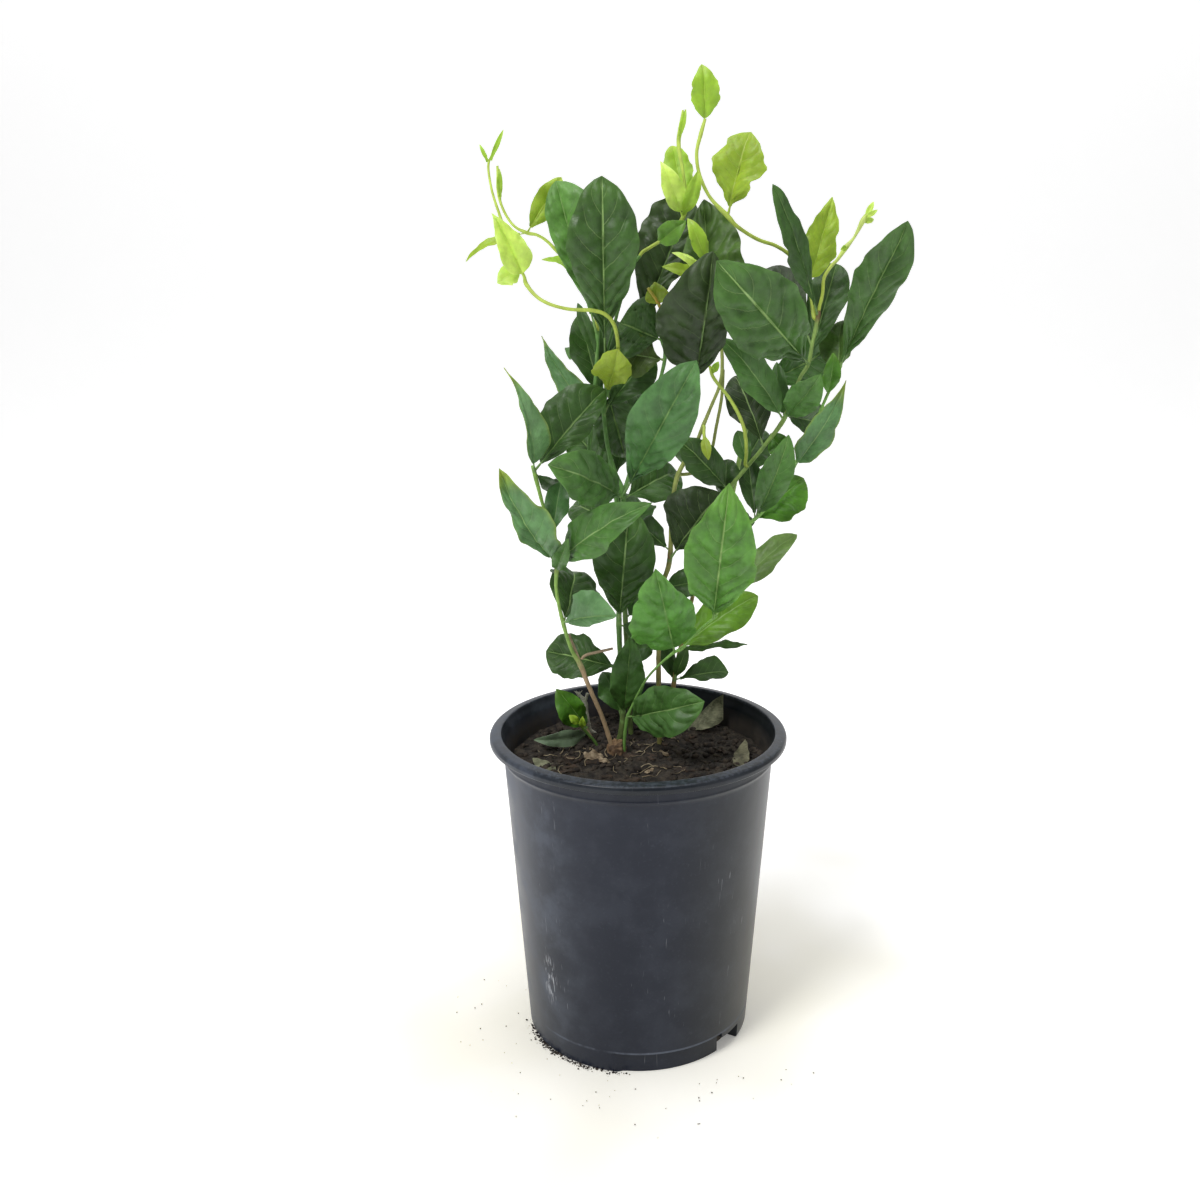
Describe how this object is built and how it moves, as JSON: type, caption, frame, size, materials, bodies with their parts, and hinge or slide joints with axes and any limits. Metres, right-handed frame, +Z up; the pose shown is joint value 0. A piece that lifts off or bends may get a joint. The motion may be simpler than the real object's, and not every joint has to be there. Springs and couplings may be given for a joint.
{
  "type": "potted jasmine",
  "caption": "Young jasmine with broad glossy leaves and pale twining tips, growing from several stems in a tapered plastic nursery pot filled with potting mix.",
  "frame": {"origin": "middle of the pot's base, on the surface that the pot stands on", "axes": "+Z up along the pot's axis, -Y towards the front of the plant, +X to the right as seen from the front"},
  "size_m": [0.2216, 0.1674, 0.5213],
  "materials": {
    "pot_plastic": "satin dark charcoal polypropylene with light scuffs",
    "potting_mix": "moist dark bark and peat",
    "mature_leaf": "satin leathery leaf on green to brown stems",
    "young_leaf": "soft pale young leaf and stem",
    "dry_plant": "matte dead leaf and twig"
  },
  "bodies": {
    "root": {"pot": "pot_plastic", "potting_mix": "potting_mix", "front_left_stem": "mature_leaf", "centre_stem": "mature_leaf", "middle_stem": "mature_leaf", "front_right_stem": "mature_leaf", "right_stem": "mature_leaf", "far_right_stem": "mature_leaf", "back_left_stem": "mature_leaf", "back_right_stem": "mature_leaf", "low_shoot": "mature_leaf", "low_sprout": "young_leaf", "left_low_vine": "young_leaf", "left_high_vine": "young_leaf", "centre_shoot": "young_leaf", "inner_shoot": "young_leaf", "short_shoot": "young_leaf", "top_vine": "young_leaf", "right_vine": "young_leaf", "twining_shoot": "young_leaf", "hanging_sprout": "young_leaf", "dry_twig": "dry_plant", "dry_leaf_right": "dry_plant", "dry_leaf_wall": "dry_plant", "dry_leaf_left": "dry_plant"}
  },
  "joints": []
}
